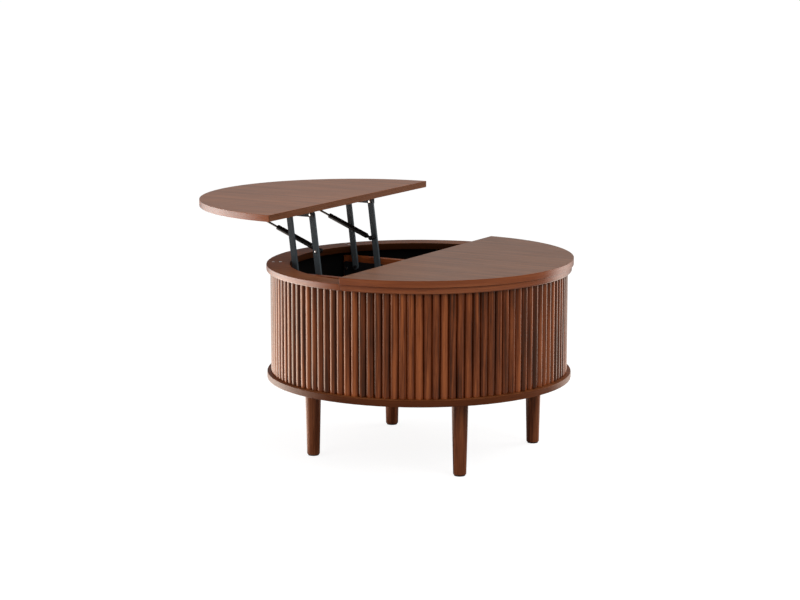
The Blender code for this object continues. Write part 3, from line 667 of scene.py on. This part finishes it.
def makeStrut(sideName, side):
    foot = Vector(jointPlace[sideName + "_strut_swing"]["pos_m"])
    line = Vector(jointPlace[sideName + "_strut_stroke"]["axis"]).normalized()
    lean = (atan2(-line.y, line.z), 0, 0)
    tube, rod, eye = strut["tube"], strut["rod"], strut["eye"]
    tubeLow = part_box(sideName + "_strut_cylinder")[0]
    rodLow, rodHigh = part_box(sideName + "_strut_rod")
    end = (tubeLow.y - foot.y + tube * line.z) / line.y
    head = Vector((foot.x, rodLow.y + eye, rodHigh.z - eye))
    start = eye + strut["plug"]
    crimp, lip, lipEdge = tube - strut["crimp"], strut["lip"], strut["lipEdge"]
    gland, bore = rod + strut["gland"], rod + strut["bore"]
    body = [(0, eye * strut["neck"]), (rod, eye * strut["neck"]), (rod, eye)]
    body += [(tube * strut["shoulder"], start - strut["shoulderLow"]), (tube, start + strut["shoulderHigh"])]
    body += [(radius, end - back) for radius, back in zip((tube, crimp, crimp, tube), strut["crimpAt"])]
    body += [(tube, end - lip), (tube - lipEdge, end - lipEdge), (tube - lip, end), (gland, end)]
    body += [(gland, end - strut["glandDepth"]), (bore, end - strut["glandDepth"]), (bore, start), (0, start)]
    cylinder = turnProfile("strutTube", body, strut["steps"])
    putAt(cylinder, foot, lean)
    pieces = [cylinder, makeEye(foot, strut["eyeHole"])]
    node = sideName + "_strut_cylinder"
    seat(joinPieces(camel(node), pieces, strutBlack, smoothAngle["strut"]), node)

    rodStart = end - strut["rodInTube"]
    rodStop = (head - foot).length - eye * strut["rodEnd"]
    outline = [(0, rodStart), (rod, rodStart), (rod, rodStop), (0, rodStop)]
    shaft = turnProfile("strutShaft", outline, strut["steps"])
    putAt(shaft, foot, lean)
    half, stud, edge = strut["eyeWidth"] / 2, strut["stud"], strut["studEdge"]
    studEnd = max(abs(rodLow.x), abs(rodHigh.x)) - abs(head.x)
    outline = [(0, -half), (stud * strut["studHead"], -half), (stud * strut["studHead"], -half + edge)]
    outline += [(stud, -half + edge), (stud, studEnd - edge), (stud - edge, studEnd), (0, studEnd)]
    pin = turnProfile("strutStud", outline, strut["steps"])
    putAt(pin, head, (0, side * pi / 2, 0))
    pieces = [shaft, makeEye(head, stud), pin]
    node = sideName + "_strut_rod"
    seat(joinPieces(camel(node), pieces, rodSteel, smoothAngle["strut"]), node)


for sideName, side in sides.items():
    makeStrut(sideName, side)
print("struts done")


# pivot pins: turned rivets across the table, domed at their ends
rivet = {"shank": 0.0025, "outerHead": 0.0034, "innerHead": 0.0042, "thickness": 0.0018,
         "strutThickness": 0.0012, "play": 0.0003, "steps": 40,
         "crown": ((0.45, 0), (0.78, 0.16), (0.95, 0.45), (1, 0.75))}


def outerCrown(radius, seatX, thickness):
    top = seatX + thickness
    dome = [(radius * across, top - thickness * down) for across, down in rivet["crown"]]
    return [(0, top), *dome, (radius, seatX)]


def innerCrown(radius, seatX, thickness):
    return [(r, 2 * seatX - x) for r, x in reversed(outerCrown(radius, seatX, thickness))]


def makePin(node, points, finish):
    low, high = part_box(node)
    side = 1 if low.x > 0 else -1
    piece = turnProfile("pin", points, rivet["steps"])
    putAt(piece, (0, (low.y + high.y) / 2, (low.z + high.z) / 2), (0, side * pi / 2, 0))
    whole = joinPieces(camel(node), [piece], finish, smoothAngle["pin"])
    seat(whole, node)
    return whole


def makePins(sideName):
    shank, outerHead, innerHead = rivet["shank"], rivet["outerHead"], rivet["innerHead"]
    thickness, play = rivet["thickness"], rivet["play"]
    plateInner, plateOuter = sorted(abs(corner.x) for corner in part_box(sideName + "_base_plate"))
    armInner, armOuter = sorted(abs(corner.x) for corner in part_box(sideName + "_rear_arm"))
    collar = [(innerHead, plateInner - play), (innerHead, armOuter + play), (shank, armOuter + play),
              (shank, armInner - play)] + innerCrown(innerHead, armInner - play, thickness)
    headed = outerCrown(outerHead, plateOuter + play, thickness)
    headed += [(shank, plateOuter + play), (shank, plateInner - play)]
    for place in ("front", "rear"):
        makePin(f"{sideName}_{place}_base_pin", [(0, plateInner - play)] + collar, blackSteel)
        makePin(f"{sideName}_{place}_top_pin", headed + collar, zincPlate)
    strutX = abs(jointPlace[sideName + "_strut_swing"]["pos_m"][0])
    eyeOuter = strutX + strut["eyeWidth"] / 2 + play
    eyeInner = strutX - strut["eyeWidth"] / 2 - play
    points = outerCrown(outerHead, armOuter + play, rivet["strutThickness"])
    points += [(shank, armOuter + play), (shank, armInner - play)]
    points += [(innerHead, armInner - play), (innerHead, eyeOuter)]
    points += [(shank, eyeOuter), (shank, eyeInner)] + innerCrown(innerHead, eyeInner, thickness)
    strutPin = makePin(sideName + "_strut_pin", points, blackSteel)
    strutPin.data.materials.append(zincPlate)
    for patch in strutPin.data.polygons:
        if abs(patch.center.x) > armOuter:
            patch.material_index = 1


for sideName in sides:
    makePins(sideName)
print("pins done")


# pan-head screws: modelled once, head towards +Z, copied to the plates, brackets and legs
screw = {"radius": 0.0036, "height": 0.0013, "sides": 24, "topShare": 0.9, "round": 0.0008, "roundSteps": 4,
         "slotWidth": 0.0008, "slotLength": 0.0042, "slotDepth": 0.0007,
         "plateFront": 0.0066, "plateTop": 0.0164, "plateEdge": 0.0075, "plateTurn": 0.4,
         "bracketEdge": 0.0062, "bracketEnd": 0.016, "flange": 0.002, "perBracket": 4, "bracketTurn": 0.5,
         "legPlateEdge": 0.008, "legTurn": 0.3}


def makeScrewPattern():
    bpy.ops.object.select_all(action="DESELECT")
    height = screw["height"]
    bpy.ops.mesh.primitive_cylinder_add(vertices=screw["sides"], radius=screw["radius"], depth=height,
                                        location=(0, 0, height / 2))
    head = bpy.context.object
    bpy.ops.object.transform_apply(location=True)
    topLine = height * screw["topShare"]
    for edge in head.data.edges:
        edge.select = all(head.data.vertices[index].co.z > topLine for index in edge.vertices)
    bpy.ops.object.mode_set(mode="EDIT")
    bpy.ops.mesh.bevel(offset=screw["round"], segments=screw["roundSteps"])
    bpy.ops.object.mode_set(mode="OBJECT")
    for turn in (0, pi / 2):
        bpy.ops.mesh.primitive_cube_add(size=1, location=(0, 0, height), rotation=(0, 0, turn))
        cutter = bpy.context.object
        cutter.scale = (screw["slotLength"], screw["slotWidth"], screw["slotDepth"] * 2)
        takeOnly(head)
        recess = head.modifiers.new("recess", "BOOLEAN")
        recess.operation = "DIFFERENCE"
        recess.object = cutter
        bpy.ops.object.modifier_apply(modifier=recess.name)
        bpy.data.objects.remove(cutter)
    head.data.materials.append(zincPlate)
    smoothByAngle(head, smoothAngle["screw"])
    return head


def placeScrew(pattern, name, place, turn, body):
    piece = bpy.data.objects.new(name, pattern.data.copy())
    piece.location = place
    piece.rotation_euler = turn
    bpy.context.scene.collection.objects.link(piece)
    takeOnly(piece)
    bpy.ops.object.transform_apply(location=True, rotation=True, scale=True)
    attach(piece, body)


def makePlateScrews(pattern, sideName, side):
    low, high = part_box(sideName + "_base_plate")
    innerX = low.x if side > 0 else high.x
    bottom = low.z + screw["plateEdge"]
    spots = ((low.y + screw["plateFront"], high.z - screw["plateTop"]), (high.y - screw["plateEdge"], bottom),
             ((low.y + high.y) / 2, bottom))
    for index, (y, z) in enumerate(spots):
        turn = (0, -side * pi / 2, screw["plateTurn"] * index)
        placeScrew(pattern, f"{sideName}PlateScrew{index + 1}", (innerX, y, z), turn, "carcass")


def makeBracketScrews(pattern, sideName, side):
    low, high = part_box(sideName + "_top_bracket")
    flangeX = (high.x if side > 0 else low.x) - side * screw["bracketEdge"]
    span = high.y - low.y - 2 * screw["bracketEnd"]
    for index in range(screw["perBracket"]):
        y = low.y + screw["bracketEnd"] + index * span / (screw["perBracket"] - 1)
        turn = (pi, 0, screw["bracketTurn"] * index)
        place = (flangeX, y, high.z - screw["flange"])
        placeScrew(pattern, f"{sideName}BracketScrew{index + 1}", place, turn, "lift_top")


def makeLegScrews(pattern, sideName, row):
    low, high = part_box(f"{row}_{sideName}_leg_plate")
    edge = screw["legPlateEdge"]
    spots = [(x, y) for x in (low.x + edge, high.x - edge) for y in (low.y + edge, high.y - edge)]
    for index, (x, y) in enumerate(spots):
        turn = (pi, 0, screw["legTurn"] * index)
        name = f"{row}{sideName.capitalize()}LegScrew{index + 1}"
        placeScrew(pattern, name, (x, y, low.z), turn, "carcass")


def makeScrews():
    pattern = makeScrewPattern()
    for sideName, side in sides.items():
        makePlateScrews(pattern, sideName, side)
        makeBracketScrews(pattern, sideName, side)
        for row in ("front", "rear"):
            makeLegScrews(pattern, sideName, row)
    bpy.data.objects.remove(pattern)


makeScrews()
print("screws done")


# studio: a pale floor, a surround that is bright behind and dim on the camera's side, and four soft boxes
toLeft = Vector((0.498, -0.867, 0))
toCamera = Vector((0.867, 0.498, 0))

# white to the camera; in reflections it glows behind and beside the table, where the flutes mirror it
floorLook = {"size": 80, "drop": 0.0005, "tone": 0.35, "lighter": 0.03, "white": 0.88,
             "left": 5.2, "right": 3.1, "soft": 0.04, "tint": (1.0, 0.86, 0.75, 1),
             "grey": (0.80, 0.80, 0.77, 1), "far": (1.0, 0.95, 0.91, 1)}
glowRamps = {"across": (-0.3, 0.3), "begin": (0.50, -0.15), "further": (-0.30, 0.10), "near": (0.15, 0.5),
             "back": (0.40, 0.90, 1.0, 0.06), "distance": (1.0, 3.2, 1.0, 1.05), "grey": (0.88, 1.0),
             "far": (2.3, 3.2)}


def makeFloor():
    bpy.ops.object.select_all(action="DESELECT")
    bpy.ops.mesh.primitive_plane_add(size=floorLook["size"], location=(0, 0, -floorLook["drop"]))
    floor = bpy.context.object
    floor.name = "studioFloor"
    dark = floorLook["tone"]
    light = dark + floorLook["lighter"]
    paper = plainFinish("palePaper", (dark, dark, dark), (light, light, light), roughness=0.9, amount=0.02,
                        scale=3, bump=0.0, specular=0.0)
    tree = paper.node_tree
    shader = tree.nodes["Principled BSDF"]
    fromAxis = addNode(tree, "Mapping", {"Vector": objectPlace(tree), "Location": -drumAxis}).outputs[0]
    away = addNode(tree, "VectorMath", {0: fromAxis}, operation="NORMALIZE").outputs[0]
    reach = addNode(tree, "VectorMath", {0: fromAxis}, operation="LENGTH").outputs["Value"]
    back = addNode(tree, "VectorMath", {0: away, 1: -toCamera}, operation="DOT_PRODUCT").outputs["Value"]
    left = addNode(tree, "VectorMath", {0: away, 1: toLeft}, operation="DOT_PRODUCT").outputs["Value"]
    rays = addNode(tree, "LightPath").outputs
    further = mathNode(tree, "SUBTRACT", back, remap(tree, left, *glowRamps["across"], *glowRamps["begin"]))
    lit = remap(tree, further, *glowRamps["further"])
    for share in (remap(tree, reach, *glowRamps["near"]), remap(tree, back, *glowRamps["back"]),
                  remap(tree, reach, *glowRamps["distance"]),
                  remap(tree, left, *glowRamps["across"], floorLook["right"], floorLook["left"]),
                  remap(tree, rays["Is Glossy Ray"], 0.0, 1.0, floorLook["soft"], 1.0)):
        lit = mathNode(tree, "MULTIPLY", lit, share)
    seen = rays["Is Camera Ray"]
    glow = addNode(tree, "MapRange", {"Value": seen, "To Min": lit, "To Max": floorLook["white"]}).outputs[0]
    tree.links.new(glow, shader.inputs["Emission Strength"])
    tint = mixColour(tree, remap(tree, back, *glowRamps["grey"]), floorLook["tint"], floorLook["grey"])
    tint = mixColour(tree, remap(tree, reach, *glowRamps["far"]), tint, floorLook["far"])
    tree.links.new(mixColour(tree, seen, tint, (1, 1, 1, 1)), shader.inputs["Emission Color"])
    paper.cycles.emission_sampling = "NONE"
    floor.data.materials.append(paper)


surround = {"ahead": 0.12, "behind": 0.32, "left": 0.08, "above": 0.24, "backLimits": (-0.3, 0.6),
            "leftLimits": (0.1, 0.9), "upLimits": (0.3, 0.9)}


def makeSurround():
    world = bpy.data.worlds.new("studioSurround")
    world.use_nodes = True
    tree = world.node_tree
    outward = addNode(tree, "TexCoord").outputs["Generated"]
    back = addNode(tree, "VectorMath", {0: outward, 1: -toCamera}, operation="DOT_PRODUCT").outputs["Value"]
    left = addNode(tree, "VectorMath", {0: outward, 1: toLeft}, operation="DOT_PRODUCT").outputs["Value"]
    up = addNode(tree, "SeparateXYZ", {0: outward}).outputs["Z"]
    glow = remap(tree, back, *surround["backLimits"], surround["ahead"], surround["behind"])
    glow = mathNode(tree, "ADD", glow, remap(tree, left, *surround["leftLimits"], 0.0, surround["left"]))
    glow = mathNode(tree, "ADD", glow, remap(tree, up, *surround["upLimits"], 0.0, surround["above"]))
    seen = addNode(tree, "LightPath").outputs["Is Camera Ray"]
    background = tree.nodes["Background"]
    tree.links.new(mathNode(tree, "MAXIMUM", glow, seen), background.inputs["Strength"])
    background.inputs["Color"].default_value = (1, 1, 1, 1)
    bpy.context.scene.world = world


# places are measured from the drum's axis at the floor, and all boxes aim at the drum
softBoxes = {
    "leftSoftbox": {"left": 1.8, "ahead": 1.4, "up": 0.9, "size": (1.8, 2.2), "power": 14.0},
    "rightSoftbox": {"left": -2.3, "ahead": -0.9, "up": 0.9, "size": (1.6, 2.2), "power": 24.0},
    "frontSoftbox": {"left": -1.5, "ahead": 2.0, "up": 2.0, "size": (2.0, 2.0), "power": 27.0},
    "topSoftbox": {"left": 0.0, "ahead": -0.4, "up": 2.6, "size": (1.8, 1.8), "power": 4.0},
}
aimHeight = 0.3


def makeSoftBox(name, left, ahead, up, size, power):
    data = bpy.data.lights.new(name, "AREA")
    data.shape = "RECTANGLE"
    data.size, data.size_y = size
    data.energy = power
    light = bpy.data.objects.new(name, data)
    light.location = toLeft * left + toCamera * ahead + Vector((0, 0, up)) + drumAxis
    aim = Vector((0, 0, aimHeight)) + drumAxis - light.location
    light.rotation_euler = aim.to_track_quat("-Z", "Y").to_euler()
    light.visible_glossy = False
    bpy.context.scene.collection.objects.link(light)


makeFloor()
makeSurround()
for name, box in softBoxes.items():
    makeSoftBox(name, **box)
bpy.context.scene.view_settings.view_transform = "Standard"
print("studio set")
